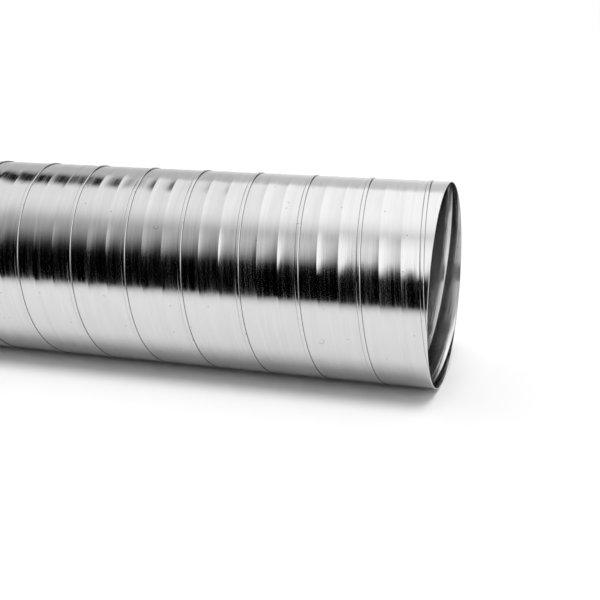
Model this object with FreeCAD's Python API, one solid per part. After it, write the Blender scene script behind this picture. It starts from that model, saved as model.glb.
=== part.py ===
# Galvanised spiral duct: one steel strip wound into a tube, its edges folded together in a helical lock seam.
# Units are millimetres. The duct lies on a level floor along X, and the origin is on the floor under its middle.

import FreeCAD
import Part
import math
import os

# Driving dimensions
bore_diameter = 400.0       # nominal size, measured inside, where fittings slide in
sheet_thickness = 0.6       # galvanised strip
duct_length = 1500.0
strip_width = 137.0         # flat strip, before its edges are folded
seam_width = 7.3            # lock seam, across the strip
seam_plies = 4              # layers of strip pressed together in the seam
fold_inside_radius = 0.3    # of the two tight folds that edge the seam
fold_flats = 1              # flats that make up the round of each fold
seam_to_end = 36.8          # from the +X end to the middle of the seam, along the top of the duct
winding_start = 102.0       # degrees round the duct, from its lowest side to where the winding starts

# Sizes that follow
inner_radius = bore_diameter / 2
outer_radius = inner_radius + sheet_thickness
seam_height = (seam_plies - 1) * sheet_thickness            # proud of the wall
seam_radius = outer_radius + seam_height
fold_radius = fold_inside_radius + sheet_thickness
cover_width = strip_width - (seam_plies - 1) * seam_width   # each fold turns back one seam width of strip
mean_girth = 2 * math.pi * (inner_radius + sheet_thickness / 2)
lead_angle = math.asin(cover_width / mean_girth)            # of the seam, from a square ring
seam_pitch = cover_width / math.cos(lead_angle)             # along the duct, from turn to turn
axial_seam_width = seam_width / math.cos(lead_angle)

winding_axis = FreeCAD.Vector(0, 0, 1)                      # the duct is wound along Z, then laid down
full_turn = 360.0                                           # degrees
half_turn = full_turn / 2
quarter_turn = full_turn / 4


def plain_wall():
    """The wall of the tube between its two square ends, without the seam."""
    outside = Part.makeCylinder(outer_radius, duct_length, FreeCAD.Vector(), winding_axis)
    inside = Part.makeCylinder(inner_radius, duct_length, FreeCAD.Vector(), winding_axis)
    return outside.cut(inside)


def seam_section():
    """The pressed seam, cut along the duct: flat on top, turned down at its two folds, rooted in the wall."""
    half = axial_seam_width / 2
    root = outer_radius - sheet_thickness / 2
    fold_centre = seam_radius - fold_radius
    upper_side = [(root, half)]
    for step in range(fold_flats + 1):
        turn = math.pi / 2 * step / fold_flats
        radius = fold_centre + fold_radius * math.sin(turn)
        along = half - fold_radius * (1 - math.cos(turn))
        upper_side.append((radius, along))
    lower_side = [(radius, -along) for radius, along in reversed(upper_side)]
    outline = upper_side + lower_side + upper_side[:1]
    return Part.makePolygon([FreeCAD.Vector(radius, 0, along) for radius, along in outline])


def seam_turn():
    """One turn of the seam: its section carried once round a right-handed helix."""
    helix = Part.makeHelix(seam_pitch, seam_pitch, inner_radius)
    return Part.Wire(helix.Edges).makePipeShell([seam_section()], True, True)


def wound_seam():
    """Turn after turn of the seam, past both ends of the duct and cut off square with them."""
    climb_to_top = seam_pitch * (half_turn - winding_start) / full_turn
    start = duct_length - seam_to_end - climb_to_top
    start = (start + axial_seam_width) % seam_pitch - seam_pitch - axial_seam_width
    count = math.ceil((duct_length + 2 * axial_seam_width) / seam_pitch) + 1

    turns = [seam_turn().translated(winding_axis * (start + turn * seam_pitch)) for turn in range(count)]
    seam = turns[0].multiFuse(turns[1:])
    between_ends = Part.makeCylinder(2 * seam_radius, duct_length, FreeCAD.Vector(), winding_axis)
    return seam.common(between_ends)


def laid_down(duct):
    """Rolled to its winding start, laid from Z to X, centred, and raised until the seam is on the floor."""
    duct.rotate(FreeCAD.Vector(), winding_axis, winding_start)
    duct.rotate(FreeCAD.Vector(), FreeCAD.Vector(0, 1, 0), quarter_turn)
    duct.translate(FreeCAD.Vector(-duct_length / 2, 0, seam_radius))
    return duct


def main():
    os.makedirs("parts", exist_ok=True)
    duct = laid_down(plain_wall().fuse(wound_seam()).Solids[0])
    duct.exportStep("parts/spiral_duct.step")

    print("seam pitch", round(seam_pitch, 3), "mm, lead angle", round(math.degrees(lead_angle), 3), "degrees")
    print("spiral_duct valid", duct.isValid(), "faces", len(duct.Faces), "volume", round(duct.Volume, 1), "mm3")


main()
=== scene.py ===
# Spiral duct on a pale studio floor: wound steel strip with a helical lock seam and rolled crests.
# Units are metres. The duct lies along X, its middle over the origin.

import bpy
import numpy as np
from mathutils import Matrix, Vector


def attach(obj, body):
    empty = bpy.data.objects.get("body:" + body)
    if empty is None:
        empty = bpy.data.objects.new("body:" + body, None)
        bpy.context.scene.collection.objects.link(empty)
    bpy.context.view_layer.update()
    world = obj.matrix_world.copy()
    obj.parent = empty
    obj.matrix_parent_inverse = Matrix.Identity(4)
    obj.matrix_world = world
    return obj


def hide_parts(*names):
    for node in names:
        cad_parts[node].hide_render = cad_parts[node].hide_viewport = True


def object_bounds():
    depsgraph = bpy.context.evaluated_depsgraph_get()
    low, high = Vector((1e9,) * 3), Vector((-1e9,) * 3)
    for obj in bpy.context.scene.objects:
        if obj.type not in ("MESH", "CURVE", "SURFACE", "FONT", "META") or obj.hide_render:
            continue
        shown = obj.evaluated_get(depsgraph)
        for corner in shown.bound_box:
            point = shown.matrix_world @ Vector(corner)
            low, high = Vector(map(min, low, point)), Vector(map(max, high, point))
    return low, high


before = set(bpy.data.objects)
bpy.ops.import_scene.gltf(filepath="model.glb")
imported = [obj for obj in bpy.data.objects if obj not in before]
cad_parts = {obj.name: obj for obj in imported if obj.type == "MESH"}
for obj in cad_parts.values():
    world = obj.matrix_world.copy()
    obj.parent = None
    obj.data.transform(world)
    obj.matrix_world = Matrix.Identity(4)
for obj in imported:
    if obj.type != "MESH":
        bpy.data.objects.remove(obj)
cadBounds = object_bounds()
scene = bpy.context.scene


# Node helpers

class Value:
    # one output socket in a node tree; arithmetic on it adds Math nodes
    def __init__(self, tree, socket):
        self.tree = tree
        self.socket = socket

    def maths(self, operation, *others):
        return maths(self.tree, operation, self, *others)

    def __add__(self, other):
        return self.maths("ADD", other)

    def __sub__(self, other):
        return self.maths("SUBTRACT", other)

    def __rsub__(self, other):
        return maths(self.tree, "SUBTRACT", other, self)

    def __mul__(self, other):
        return self.maths("MULTIPLY", other)

    def __truediv__(self, other):
        return self.maths("DIVIDE", other)

    def __rtruediv__(self, other):
        return maths(self.tree, "DIVIDE", other, self)

    __radd__ = __add__
    __rmul__ = __mul__

    def swing(self, amount):
        # a pattern's ups and downs about its middle, times an amount
        return (self - 0.5) * amount

    def bell(self, middle, width):
        # 1 at the middle, falling off to both sides as a bell curve
        return (((self - middle) / width).maths("POWER", 2.0) * -1.0).maths("EXPONENT")


def feed(tree, item, socket):
    # a Value is linked, a plain number or colour is set
    if isinstance(item, Value):
        tree.links.new(item.socket, socket)
    else:
        socket.default_value = item


def maths(tree, operation, *items):
    node = tree.nodes.new("ShaderNodeMath")
    node.operation = operation
    for place, item in enumerate(items):
        feed(tree, item, node.inputs[place])
    return Value(tree, node.outputs[0])


def setStops(points, stops):
    # a ramp's stops are (position, grey), in order
    while len(points) < len(stops):
        points.new(1.0)
    for point, (position, grey) in zip(points, stops):
        point.position = position
        point.color = (grey, grey, grey, 1.0)


class Tree:
    # makes the nodes of one material or world
    def __init__(self, owner):
        owner.use_nodes = True
        self.tree = owner.node_tree
        self.tree.nodes.clear()

    def make(self, kind, settings, **sockets):
        # settings come first, then the sockets by name, with _ for a space
        node = self.tree.nodes.new(kind)
        for name, item in settings.items():
            if name == "stops":
                setStops(node.color_ramp.elements, item)
            else:
                setattr(node, name, item)
        for name, item in sockets.items():
            feed(self.tree, item, node.inputs[name.replace("_", " ")])
        return node

    def out(self, node, name):
        return Value(self.tree, node.outputs[name])

    def split(self, vector):
        # x, y and z of a vector
        node = self.make("ShaderNodeSeparateXYZ", {}, Vector=vector)
        return [self.out(node, name) for name in ("X", "Y", "Z")]

    def ramp(self, source, stops):
        return self.out(self.make("ShaderNodeValToRGB", {"stops": stops}, Fac=source), "Color")

    def step(self, source, low, high):
        # rises smoothly from 0 at low to 1 at high
        node = self.make("ShaderNodeMapRange", {"interpolation_type": "SMOOTHSTEP"},
                         Value=source, From_Min=low, From_Max=high)
        return self.out(node, "Result")

    def noise(self, vector, scale, detail, roughness):
        node = self.make("ShaderNodeTexNoise", {"noise_dimensions": "3D"},
                         Vector=vector, Scale=scale, Detail=detail, Roughness=roughness)
        return self.out(node, "Fac")

    def scaled(self, colour, factor):
        node = self.make("ShaderNodeVectorMath", {"operation": "SCALE"}, Vector=colour, Scale=factor)
        return self.out(node, "Vector")

    def surface(self, shader, kind="ShaderNodeOutputMaterial"):
        self.make(kind, {}, Surface=Value(self.tree, shader.outputs[0]))


# Duct

ductSettings = {
    "innerRadius": 0.2000,
    "wall": 0.0006,
    "stripWidth": 0.1370,               # flat, before its edges are folded
    "seamWidth": 0.0073,
    "seamLayers": 4,                    # of strip, pressed together
    "seamToEnd": 0.0368,                # along the top, from the +X end
    "foldRadius": 0.0009,
    "foldSide": 0.00012,                # width of the steep side under each fold
    "crestPlaces": (0.325, 0.675),      # share of the way from one seam to the next
    "crestHeight": 0.00057,
    "crestReach": 0.0074,               # how fast the flanks fall away
    "saucer": 0.00012,                  # dip between the crests
    "innerHeight": 0.0013,              # the crests are deeper inside
    "innerReach": 0.0110,               # where their flanks end
    "innerHollow": 1.15,                # 1 would be straight flanks
    "innerDrop": 0.0008,                # how far the strip stands in from the bore between its crests
    "groove": (0.00022, 0.0005),        # closed joint of the seam inside: depth, and how fast it fades
    "flare": (0.0011, 0.016, 1.4),      # bell of the bore's ends: how far, over what length, how hollow
    "burr": (0.0008, 0.0003),           # round the cut edges: how far back, how proud
    "waveHeight": 0.00008,
    "waveCount": 9,
    "wavesAlong": (2.0, 11.0),          # least and most, in a turn
    "wavesAcross": (0.5, 3.5),          # least and most, in the strip's width
    "waveDecay": 0.12,                  # how much weaker each wave is than the one before
    "waveFade": 0.08,                   # share of the strip beside the seam where the waves die out
    "seed": 7,
    "columns": 116,
    "foldRows": (1, 1 / 2, 1 / 6, 0),   # rows round each fold, in fold radii from the seam's side
    # other rows, by distance from the seam
    "outerRows": (0.0, 0.0019, 0.0052, 0.0100, 0.0180, 0.0260, 0.0315, 0.0348, 0.0366, 0.0386, 0.0406,
                  0.0446, 0.0505),
    "innerRows": (0.0, 0.0006, 0.0016, 0.0120, 0.0220, 0.0266, 0.0315, 0.0368, 0.0383, 0.0436, 0.0485,
                  0.0530),
    "innerPattern": 40.0,               # the inside has a part of the finish's pattern to itself
    "rimPattern": (90.0, 0.01),         # and so have the rims: where it starts, and the step to each corner
    "sharpAngle": 50.0,                 # degrees, from which an edge isn't smoothed
}

fullTurn = 2.0 * np.pi
endTolerance = 1e-6     # metres
rowTolerance = 1e-9     # pitches
outerFinish, innerFinish, cutFinish = 0, 1, 2       # places in the duct's list of materials

ductLength = cadBounds[1].x - cadBounds[0].x
skinHalf = ductLength / 2 - ductSettings["burr"][0]     # from the middle to where the burr starts
outerWall = ductSettings["innerRadius"] + ductSettings["wall"]
seamHalf = ductSettings["seamWidth"] / 2
seamHeight = (ductSettings["seamLayers"] - 1) * ductSettings["wall"]    # over the wall
seamRadius = outerWall + seamHeight
axisHeight = seamRadius         # the seam is on the floor


def pitchOfSeam():
    # The strip less what its folds take up, over the cosine of the seam's lead, to a micrometre.
    s = ductSettings
    cover = s["stripWidth"] - (s["seamLayers"] - 1) * s["seamWidth"]
    meanGirth = fullTurn * (s["innerRadius"] + s["wall"] / 2)
    return round(cover / np.sqrt(1.0 - (cover / meanGirth) ** 2), 6)


seamPitch = pitchOfSeam()
seamAtTop = ductLength / 2 - ductSettings["seamToEnd"]
seamZero = seamAtTop - seamPitch / 4        # the seam's x at angle 0, a quarter turn before the top


def ridge(across):
    # Height of the seam by distance from its middle: flat, then a quarter circle, then a steep side.
    s = ductSettings
    off = np.abs(across)
    flat = seamHalf - s["foldRadius"]
    foot = seamHeight - s["foldRadius"]
    drop = np.clip((off - flat) / s["foldRadius"], 0.0, 1.0)
    top = seamHeight - s["foldRadius"] * (1.0 - np.sqrt(1.0 - drop * drop))
    side = np.clip((seamHalf + s["foldSide"] - off) / s["foldSide"], 0.0, 1.0)
    return np.where(off <= seamHalf, top, foot * side)


def relief(phase):
    # Height of the rolled strip by its phase from one seam to the next: two sharp crests, with flanks that
    # fall off as an exponential of the distance, and a shallow saucer between them.
    s = ductSettings
    height = np.zeros_like(phase)
    for place in s["crestPlaces"]:
        off = np.abs(phase - place) * seamPitch
        height += s["crestHeight"] * np.exp(-off / s["crestReach"])
    near, far = s["crestPlaces"]
    fromMiddle = (phase - (near + far) / 2) / ((far - near) / 2)
    dip = np.clip(1.0 - fromMiddle ** 2, 0.0, 1.0)
    return height - s["saucer"] * dip * dip


def waviness(turn, phase):
    # Slow unevenness of the strip: a few sine waves along it and across it, their lengths and phases seeded.
    s = ductSettings
    rng = np.random.default_rng(s["seed"])
    total = np.zeros_like(phase)
    for wave in range(s["waveCount"]):
        along = rng.uniform(*s["wavesAlong"])
        across = rng.uniform(*s["wavesAcross"])
        shift = rng.uniform(0.0, fullTurn)
        total += np.sin(fullTurn * (along * turn + across * phase) + shift) / (1.0 + s["waveDecay"] * wave)
    fade = np.clip(np.minimum(phase, 1.0 - phase) / s["waveFade"], 0.0, 1.0)
    return s["waveHeight"] * total * fade


def outerRadius(turn, phase, along):
    # The wall plus the higher of the seam and the rolled strip. The end rings leave room for the burr.
    across = np.where(phase < 0.5, phase, phase - 1.0) * seamPitch
    radius = outerWall + np.maximum(ridge(across), relief(phase) + waviness(turn, phase))
    atEnd = np.abs(along) >= skinHalf - endTolerance
    return np.where(atEnd, np.minimum(radius, seamRadius - ductSettings["burr"][1]), radius)


def innerRadius(turn, phase, along):
    # The bore less its drop, plus the higher of crests and end bell, plus the waves and the seam's groove.
    s = ductSettings
    opening, reach, hollow = s["flare"]
    flare = opening * np.clip(1.0 - (ductLength / 2 - np.abs(along)) / reach, 0.0, 1.0) ** hollow
    depth, width = s["groove"]
    off = np.minimum(phase, 1.0 - phase) * seamPitch
    groove = depth * np.exp(-(off / width) ** 2)
    crests = np.zeros_like(phase)
    for place in s["crestPlaces"]:
        near = np.clip(1.0 - np.abs(phase - place) * seamPitch / s["innerReach"], 0.0, 1.0)
        crests += near ** s["innerHollow"]
    relieved = np.maximum(s["innerHeight"] * crests, flare)
    return s["innerRadius"] - s["innerDrop"] + relieved + waviness(turn, phase) + groove


def rowPhases(distances):
    # Rows at these distances from the seam, on the first crest and in the middle, and then mirrored.
    own = (ductSettings["crestPlaces"][0], 0.5)
    near = np.sort(np.concatenate((np.array(distances) / seamPitch, own)))
    return np.concatenate((near, 1.0 - near[-2:0:-1]))


def woundSkin(phases, radiusOf, firstCorner):
    # Grid of angle columns and helical rows. Row u stands at x = seam + pitch * (turn + u), cut off at both
    # ends. Gives its corners, its quads and each quad's four places on the strip.
    s = ductSettings
    count = s["columns"]
    spareTurns = 2      # past both ends
    column = np.arange(count)[:, None]
    turnShare = column / count
    first = int(np.floor((-skinHalf - seamZero) / seamPitch)) - spareTurns
    last = int(np.ceil((skinHalf - seamZero) / seamPitch)) + spareTurns
    row = np.append(np.arange(first, last)[:, None] + phases, last)
    along = seamZero + seamPitch * (turnShare + row)
    cut = np.clip(along, -skinHalf, skinHalf)
    rowCut = (cut - seamZero) / seamPitch - turnShare
    strip = np.floor(rowCut + rowTolerance)
    radius = radiusOf(strip + turnShare, np.clip(rowCut - strip, 0.0, 1.0), cut)
    angle = fullTurn * turnShare
    points = np.stack((cut, radius * np.cos(angle), axisHeight + radius * np.sin(angle)), -1)

    # all that is cut off at an end becomes one ring of corners there
    low = along <= -skinHalf + endTolerance
    high = along >= skinHalf - endTolerance
    between = ~(low | high)
    numbers = 2 * count - 1 + np.cumsum(between).reshape(between.shape)
    numbers = firstCorner + np.where(low, column, np.where(high, count + column, numbers))
    corners = np.concatenate((points[:, 0], points[:, -1], points[between]))

    # after the last column comes the first again, one turn further along
    rows = len(row)
    onward = np.minimum(np.arange(rows) + len(phases), rows - 1)
    numbers = np.concatenate((numbers, numbers[:1, onward]))
    rowCut = np.concatenate((rowCut, rowCut[:1, onward] - 1.0))
    turnShare = np.arange(count + 1)[:, None] / count
    stripOfFace = np.floor(row[:-1] + rowTolerance)
    quads = []
    places = []
    for columnStep, rowStep in ((0, 0), (0, 1), (1, 1), (1, 0)):
        columnsHere = slice(columnStep, count + columnStep)
        rowsHere = slice(rowStep, rows - 1 + rowStep)
        run = (stripOfFace + turnShare[columnsHere]) * fullTurn * s["innerRadius"]
        across = (rowCut[columnsHere, rowsHere] - stripOfFace) * seamPitch
        quads.append(numbers[columnsHere, rowsHere])
        places.append(np.stack((run, across), -1))
    quads = np.stack(quads, -1)
    places = np.stack(places, 2)
    keep = (quads[..., 0] != quads[..., 1]) | (quads[..., 2] != quads[..., 3])
    return corners, quads[keep], places[keep]


def cutEdges(corners, innerStart):
    # Each cut edge has a square burr: rings that step off the two skins, run to the end and meet there.
    # Gives the rings' corners, the quads between them and the quads' finishes.
    s = ductSettings
    count = s["columns"]
    proud = s["burr"][1]
    axis = np.array((0.0, 0.0, axisHeight))
    rings = []
    quads = []
    for side, start in ((-1, 0), (1, count)):
        outer = start + np.arange(count)
        inner = outer + innerStart
        chain = [outer]
        for skin, grow, atEnd in ((outer, proud, False), (outer, proud, True),
                                  (inner, -proud, True), (inner, -proud, False)):
            ring = corners[skin] - axis
            radius = np.hypot(ring[:, 1], ring[:, 2])
            ring[:, 1:] *= ((radius + grow) / radius)[:, None]
            if atEnd:
                ring[:, 0] = side * ductLength / 2
            chain.append(len(corners) + count * len(rings) + np.arange(count))
            rings.append(ring + axis)
        chain.append(inner)
        for near, far in zip(chain[:-1], chain[1:]):
            between = np.stack((near, np.roll(near, -1), np.roll(far, -1), far), -1)
            quads.append(between[:, ::-1] if side < 0 else between)     # so that they face outwards
    finishes = (cutFinish, cutFinish, cutFinish, innerFinish, innerFinish) * 2
    return np.concatenate(rings), np.concatenate(quads), np.repeat(finishes, count)


def faceCorners(quads, places):
    # All faces' corners and places in one row, and how many each face has. A repeated corner is left out,
    # so that a quad cut by an end becomes a triangle.
    keep = np.ones(quads.shape, dtype=bool)
    keep[:, 0] = quads[:, 0] != quads[:, 1]
    keep[:, 3] = quads[:, 2] != quads[:, 3]
    return quads[keep], places[keep], keep.sum(1)


def makeDuct():
    s = ductSettings
    foldRows = seamHalf - s["foldRadius"] * np.array(s["foldRows"])
    outerRows = np.concatenate((s["outerRows"], foldRows, [seamHalf + s["foldSide"]]))
    outerCorners, outerQuads, outerPlaces = woundSkin(rowPhases(outerRows), outerRadius, 0)
    innerStart = len(outerCorners)
    innerCorners, innerQuads, innerPlaces = woundSkin(rowPhases(s["innerRows"]), innerRadius, innerStart)
    corners = np.concatenate((outerCorners, innerCorners))
    rimCorners, rimQuads, rimFinishes = cutEdges(corners, innerStart)
    rimFrom, rimStep = s["rimPattern"]
    rimPlaces = np.zeros(rimQuads.shape + (2,))
    rimPlaces[..., 0] = rimFrom + rimStep * np.arange(rimQuads.size).reshape(rimQuads.shape)

    corners = np.concatenate((corners, rimCorners))
    quads = np.concatenate((outerQuads[:, ::-1], innerQuads, rimQuads))
    places = np.concatenate((outerPlaces[:, ::-1], innerPlaces + s["innerPattern"], rimPlaces))
    skinFinishes = np.repeat((outerFinish, innerFinish), (len(outerQuads), len(innerQuads)))
    finishes = np.concatenate((skinFinishes, rimFinishes))
    loops, places, sizes = faceCorners(quads, places)

    mesh = bpy.data.meshes.new("spiralDuct")
    mesh.vertices.add(len(corners))
    mesh.vertices.foreach_set("co", corners.astype(np.float32).ravel())
    mesh.loops.add(len(loops))
    mesh.loops.foreach_set("vertex_index", loops.astype(np.int32))
    mesh.polygons.add(len(sizes))
    mesh.polygons.foreach_set("loop_start", (np.cumsum(sizes) - sizes).astype(np.int32))
    mesh.polygons.foreach_set("material_index", finishes.astype(np.int32))
    mesh.polygons.foreach_set("use_smooth", np.ones(len(sizes), dtype=bool))
    mesh.update(calc_edges=True)
    layer = mesh.uv_layers.new(name="strip")
    layer.data.foreach_set("uv", places.astype(np.float32).ravel())
    mesh.set_sharp_from_angle(angle=np.radians(s["sharpAngle"]))
    mesh.validate()
    duct = bpy.data.objects.new("spiralDuctWound", mesh)
    scene.collection.objects.link(duct)
    print("duct", len(corners), "corners", len(loops) - 2 * len(sizes), "triangles")
    return duct


steelSettings = {
    "grey": (0.745, 0.745, 0.745),
    "outside": (0.140, 0.13),           # roughness, and how much it varies in the streaks
    "inside": (0.11, 0.06),
    "smoothest": 0.06,                  # least roughness anywhere
    # patterns: cells in a metre along the strip and across it, levels of detail, and how much each adds
    "fine": (4.0, 130.0, 5.0, 0.72),
    "broad": (2.5, 90.0, 2.0, 0.5),
    "cloud": (14.0, 30.0, 4.0, 0.6),
    "speck": (700.0, 700.0, 2.0, 0.7),
    "nick": (160.0, 60.0, 1.0, 0.5),
    "gap": (40.0, 40.0, 0.0, 0.5),
    "greys": {"fine": 0.22, "broad": 0.10, "cloud": 0.10, "speck": 0.30},   # how much each changes the grey
    "roughs": {"cloud": 0.08, "speck": 0.03},                               # the roughness
    "heights": {"fine": 0.6, "broad": 1.2},                                 # and the bump
    "bumpStrength": 0.12,
    "bumpDistance": 0.0005,
    "streak": (0.34, 0.70),             # how sharply the streaks stand apart
    "jointDirtAndShade": (0.0041, 0.00065),       # dark lines beside the seam, partly dirt in the joint and partly painted shade of the crease at the fold's foot: how far off, how wide
    "jointDirtAndShadeDark": 0.60,
    "nickEdge": (0.70, 0.76),           # small nicks: outside along the seam, inside anywhere
    "nickReach": (0.0035, 0.0055),
    "nickDark": 0.6,
    "scratches": (9.0, 0.4),            # curved: cells in a metre, and the share of cells that have one
    "scratchLine": (0.05, 0.006),       # radius and width, in cells
    "gapEdge": (0.52, 0.58),            # where the scratches break off
    "scratchDark": 0.45,
    "spots": (16.0, 0.4),
    "spotEdge": (0.010, 0.028),
    "spotDark": 0.5,
    "chosenEdge": 0.01,                 # softness of the choice of cells
}


def makeSteel(name, plainRoughness, streakRoughness):
    s = steelSettings
    material = bpy.data.materials.new(name)
    t = Tree(material)
    strip = t.make("ShaderNodeUVMap", {"uv_map": "strip"})
    run, across = t.split(t.out(strip, "UV"))[:2]

    def stretched(alongScale, acrossScale):
        node = t.make("ShaderNodeCombineXYZ", {}, X=run * alongScale, Y=across * acrossScale)
        return t.out(node, "Vector")

    def pattern(kind):
        alongScale, acrossScale, detail, roughness = s[kind]
        return t.noise(stretched(alongScale, acrossScale), 1.0, detail, roughness)

    def cells(kind):
        # distance to the nearest of some scattered places, and whether that place has a mark
        scale, share = s[kind]
        node = t.make("ShaderNodeTexVoronoi", {"voronoi_dimensions": "2D"},
                      Vector=stretched(scale, scale), Scale=1.0)
        tint = t.make("ShaderNodeSeparateColor", {}, Color=t.out(node, "Color"))
        chosen = t.step(t.out(tint, "Red"), 1.0 - share, 1.0 - share + s["chosenEdge"])
        return t.out(node, "Distance"), chosen

    patterns = {kind: pattern(kind) for kind in s["greys"]}
    halfPitch = seamPitch / 2
    seamOff = halfPitch - (across - halfPitch).maths("ABSOLUTE")
    # painted shade: a thin dark line each side of the seam, where the fold meets the wall, stands for the
    # crease's shade as well as dirt in the joint
    jointDirtAndShade = seamOff.bell(*s["jointDirtAndShade"])
    nick = t.step(pattern("nick"), *s["nickEdge"]) * (1.0 - t.step(seamOff, *s["nickReach"]))
    distance, chosen = cells("scratches")
    scratch = distance.bell(*s["scratchLine"]) * chosen * t.step(pattern("gap"), *s["gapEdge"])
    distance, chosen = cells("spots")
    spot = (1.0 - t.step(distance, *s["spotEdge"])) * chosen

    def mixed(amounts):
        return sum(patterns[kind].swing(amount) for kind, amount in amounts.items())

    shade = 1.0 + mixed(s["greys"])
    # the first of these marks is painted shade beside the seam, mixed with dirt in the joint; the nicks,
    # scratches and spots are the steel's own marks
    for mark, dark in ((jointDirtAndShade, "jointDirtAndShadeDark"), (nick, "nickDark"),
                       (scratch, "scratchDark"), (spot, "spotDark")):
        shade = shade * (1.0 - mark * s[dark])
    streak = t.step(patterns["fine"], *s["streak"])
    roughness = plainRoughness + streak.swing(streakRoughness) + mixed(s["roughs"])
    bump = t.make("ShaderNodeBump", {}, Height=mixed(s["heights"]),
                  Strength=s["bumpStrength"], Distance=s["bumpDistance"])
    steel = t.make("ShaderNodeBsdfPrincipled", {}, Metallic=1.0, Base_Color=t.scaled(s["grey"], shade),
                   Roughness=roughness.maths("MAXIMUM", s["smoothest"]), Normal=t.out(bump, "Normal"))
    t.surface(steel)
    return material


edgeSettings = {
    "grey": (0.95, 0.95, 0.95),
    "marks": (260.0, 3.0, 0.6),         # of the cutting wheel: cells in a metre, levels, how much each adds
    "shade": (0.97, 0.35),              # middle, and how much the marks change it
    "roughness": (0.5, 0.3),
}


def makeCutEdge():
    s = edgeSettings
    material = bpy.data.materials.new("cutEdge")
    t = Tree(material)
    place = t.make("ShaderNodeTexCoord", {})
    marks = t.noise(t.out(place, "Object"), *s["marks"])
    shade, shadeChange = s["shade"]
    roughness, roughnessChange = s["roughness"]
    steel = t.make("ShaderNodeBsdfPrincipled", {}, Metallic=1.0,
                   Base_Color=t.scaled(s["grey"], shade + marks.swing(shadeChange)),
                   Roughness=roughness + marks.swing(roughnessChange))
    t.surface(steel)
    return material


duct = makeDuct()
outerSteel = makeSteel("galvanisedSteel", *steelSettings["outside"])
innerSteel = makeSteel("innerSteel", *steelSettings["inside"])
for finish in (outerSteel, innerSteel, makeCutEdge()):
    duct.data.materials.append(finish)
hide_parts("spiral_duct")
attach(duct, "root")
print("duct in place")


# Floor

floorSettings = {
    "seenGrey": (0.9, 0.9, 0.9, 1.0),
    "mirroredGrey": (0.81, 0.81, 0.81, 1.0),    # as the steel reflects it
    "frontFade": (-1.30, -0.62),                # the bright table ends here, as seen in the steel
    "seenHeight": -0.0005,                      # just under the mirrored one
    "reach": 30.0,
}


def makeSeenGrey():
    material = bpy.data.materials.new("paleFloor")
    t = Tree(material)
    t.surface(t.make("ShaderNodeBsdfDiffuse", {}, Color=floorSettings["seenGrey"]))
    return material


def makeMirroredGrey():
    # pale, and clear towards the front
    s = floorSettings
    material = bpy.data.materials.new("mirroredFloor")
    t = Tree(material)
    place = t.make("ShaderNodeTexCoord", {})
    y = t.split(t.out(place, "Object"))[1]
    clear = t.make("ShaderNodeBsdfTransparent", {})
    pale = t.make("ShaderNodeBsdfDiffuse", {}, Color=s["mirroredGrey"])
    mix = t.make("ShaderNodeMixShader", {}, Fac=t.step(y, *s["frontFade"]))
    t.tree.links.new(clear.outputs["BSDF"], mix.inputs[1])
    t.tree.links.new(pale.outputs["BSDF"], mix.inputs[2])
    t.surface(mix)
    return material


def layFloor(name, front, height, material):
    # a flat sheet from its front edge to the back
    reach = floorSettings["reach"]
    corners = [(-reach, front, height), (reach, front, height),
               (reach, reach, height), (-reach, reach, height)]
    mesh = bpy.data.meshes.new(name)
    mesh.from_pydata(corners, [], [(0, 1, 2, 3)])
    mesh.materials.append(material)
    floor = bpy.data.objects.new(name, mesh)
    scene.collection.objects.link(floor)
    return floor


def makeFloor():
    # One floor is for the reflections in the steel only. The other is for all the rest.
    s = floorSettings
    mirrored = layFloor("floorMirrored", s["frontFade"][0], 0.0, makeMirroredGrey())
    mirrored.visible_camera = False
    mirrored.visible_diffuse = False
    mirrored.visible_shadow = False
    seen = layFloor("floorSeen", -s["reach"], s["seenHeight"], makeSeenGrey())
    seen.visible_glossy = False


makeFloor()
print("floor")


# Light

lightSettings = {
    # greys by the angle round the duct's axis: 0 level in front, 90 overhead, 180 level behind
    # edges by x of the direction, from where a thing starts to where it is whole
    "tent": ((0, 0.0), (18, 0.0), (25, 0.003), (30, 0.025), (36, 0.11), (42, 0.25), (48, 0.39), (54, 0.48),
             (60, 0.58), (66, 0.74), (72, 0.92), (80, 1.06), (90, 1.12), (133, 1.10), (139, 0.68),
             (145, 0.64), (160, 0.66), (170, 0.78), (180, 0.86)),
    "side": ((-0.46, 0.84), (-0.14, 1.09)),     # the tent brightens to the right
    "panel": ((0, 0.0), (17, 0.0), (21, 0.45), (25, 1.0), (30, 1.25), (48, 1.25), (54, 1.16), (61, 1.02),
              (66, 0.80), (69, 0.0), (180, 0.0)),
    "panelEdge": (-0.255, -0.205),
    "panelSlant": (18, 38, 0.06),               # its lower corner stands further right
    "glow": ((0, 0.0), (18, 0.0), (24, 0.015), (30, 0.24), (36, 0.45), (42, 0.44), (48, 0.36), (54, 0.20),
             (60, 0.02), (180, 0.0)),
    "glowEdge": (-0.46, -0.25),                 # the panel's light on the tent beside it
    "screen": ((0, 0.0), (110, 0.0), (119, 1.0), (131, 1.0), (142, 0.0), (180, 0.0)),
    "screenEdge": (-0.375, -0.485),             # dark patch, left and above
    "rightStrip": 1.1,                          # grey of a bright strip beyond the open end
    "rightStripFrom": (-0.02, 0.06),
    "rightStripTo": (0.45, 0.60),
    "rightStripFoot": (-0.25, -0.15),           # by z of the direction
    "flag": ((0, 0.0), (136, 0.0), (146, 0.6), (154, 0.97), (180, 1.0)),
    "flagEdge": (-0.14, -0.02),                 # dark, behind on the right
    "onFloor": 0.7,                             # share of the tent that lights the floor
    "sun": 1.75,
    "sunFrom": (0.10, -0.30, 0.95),
    "sunSpread": 30.0,                          # degrees
    "bounces": 20,
    "glossyBounces": 16,
}


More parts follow.
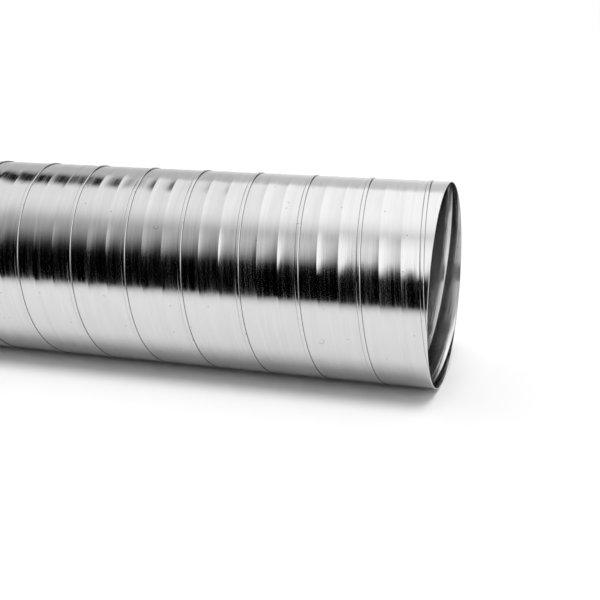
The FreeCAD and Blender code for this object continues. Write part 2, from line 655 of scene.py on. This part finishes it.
def makeTent():
    s = lightSettings
    halfTurn = 180.0        # degrees
    world = bpy.data.worlds.new("tent")
    scene.world = world
    t = Tree(world)
    place = t.make("ShaderNodeTexCoord", {})
    x, y, z = t.split(t.out(place, "Generated"))
    angle = z.maths("ARCTAN2", y * -1.0) / np.pi

    def byAngle(name):
        return t.ramp(angle, [(degrees / halfTurn, grey) for degrees, grey in s[name]])

    (leftEdge, leftGrey), (rightEdge, rightGrey) = s["side"]
    side = leftGrey + t.step(x, leftEdge, rightEdge) * (rightGrey - leftGrey)
    glowFrom, glowTo = s["glowEdge"]
    beside = ((x - glowFrom) / (glowTo - glowFrom)).maths("MINIMUM", 1.0).maths("MAXIMUM", 0.0)
    grey = byAngle("tent") * side + byAngle("glow") * beside
    low, high, slant = s["panelSlant"]
    slanted = x - (1.0 - t.step(angle, low / halfTurn, high / halfTurn)) * slant
    grey = grey.maths("MAXIMUM", byAngle("panel") * t.step(slanted, *s["panelEdge"]))
    grey = grey * (1.0 - byAngle("screen") * t.step(x, *s["screenEdge"]))
    strip = t.step(x, *s["rightStripFrom"]) * (1.0 - t.step(x, *s["rightStripTo"]))
    strip = strip * t.step(z, *s["rightStripFoot"])
    grey = grey.maths("MAXIMUM", strip * s["rightStrip"])
    grey = grey * (1.0 - byAngle("flag") * t.step(x, *s["flagEdge"]))

    path = t.make("ShaderNodeLightPath", {})
    grey = grey * (1.0 - t.out(path, "Is Diffuse Ray") * (1.0 - s["onFloor"]))
    seen = t.out(path, "Is Camera Ray")     # the backdrop itself is white
    back = t.make("ShaderNodeBackground", {}, Color=grey * (1.0 - seen) + seen)
    t.surface(back, "ShaderNodeOutputWorld")


def makeSun():
    # soft light from above and a little in front, not mirrored in the steel
    s = lightSettings
    sun = bpy.data.lights.new("frontLight", "SUN")
    sun.energy = s["sun"]
    sun.angle = np.radians(s["sunSpread"])
    lamp = bpy.data.objects.new("frontLight", sun)
    lamp.rotation_euler = Vector(s["sunFrom"]).to_track_quat("Z", "Y").to_euler()
    lamp.visible_glossy = False
    scene.collection.objects.link(lamp)


makeTent()
makeSun()
scene.cycles.max_bounces = lightSettings["bounces"]
scene.cycles.glossy_bounces = lightSettings["glossyBounces"]
print("light")


# Camera

cameraSettings = {
    "place": (0.3059, -2.0076, 0.7270),     # x of both points is from the +X end
    "target": (-0.2952, 0.0, 0.1504),
    "lens": 64.22,                          # millimetres
    "sensor": 36.0,
}


def makeCamera():
    s = cameraSettings
    end = Vector((ductLength / 2, 0.0, 0.0))
    place = Vector(s["place"]) + end
    target = Vector(s["target"]) + end
    data = bpy.data.cameras.new("camera")
    data.lens = s["lens"]
    data.sensor_width = s["sensor"]
    camera = bpy.data.objects.new("camera", data)
    camera.location = place
    camera.rotation_euler = (target - place).to_track_quat("-Z", "Y").to_euler()
    scene.collection.objects.link(camera)
    scene.camera = camera
    scene.view_settings.view_transform = "Standard"


makeCamera()
print("camera")
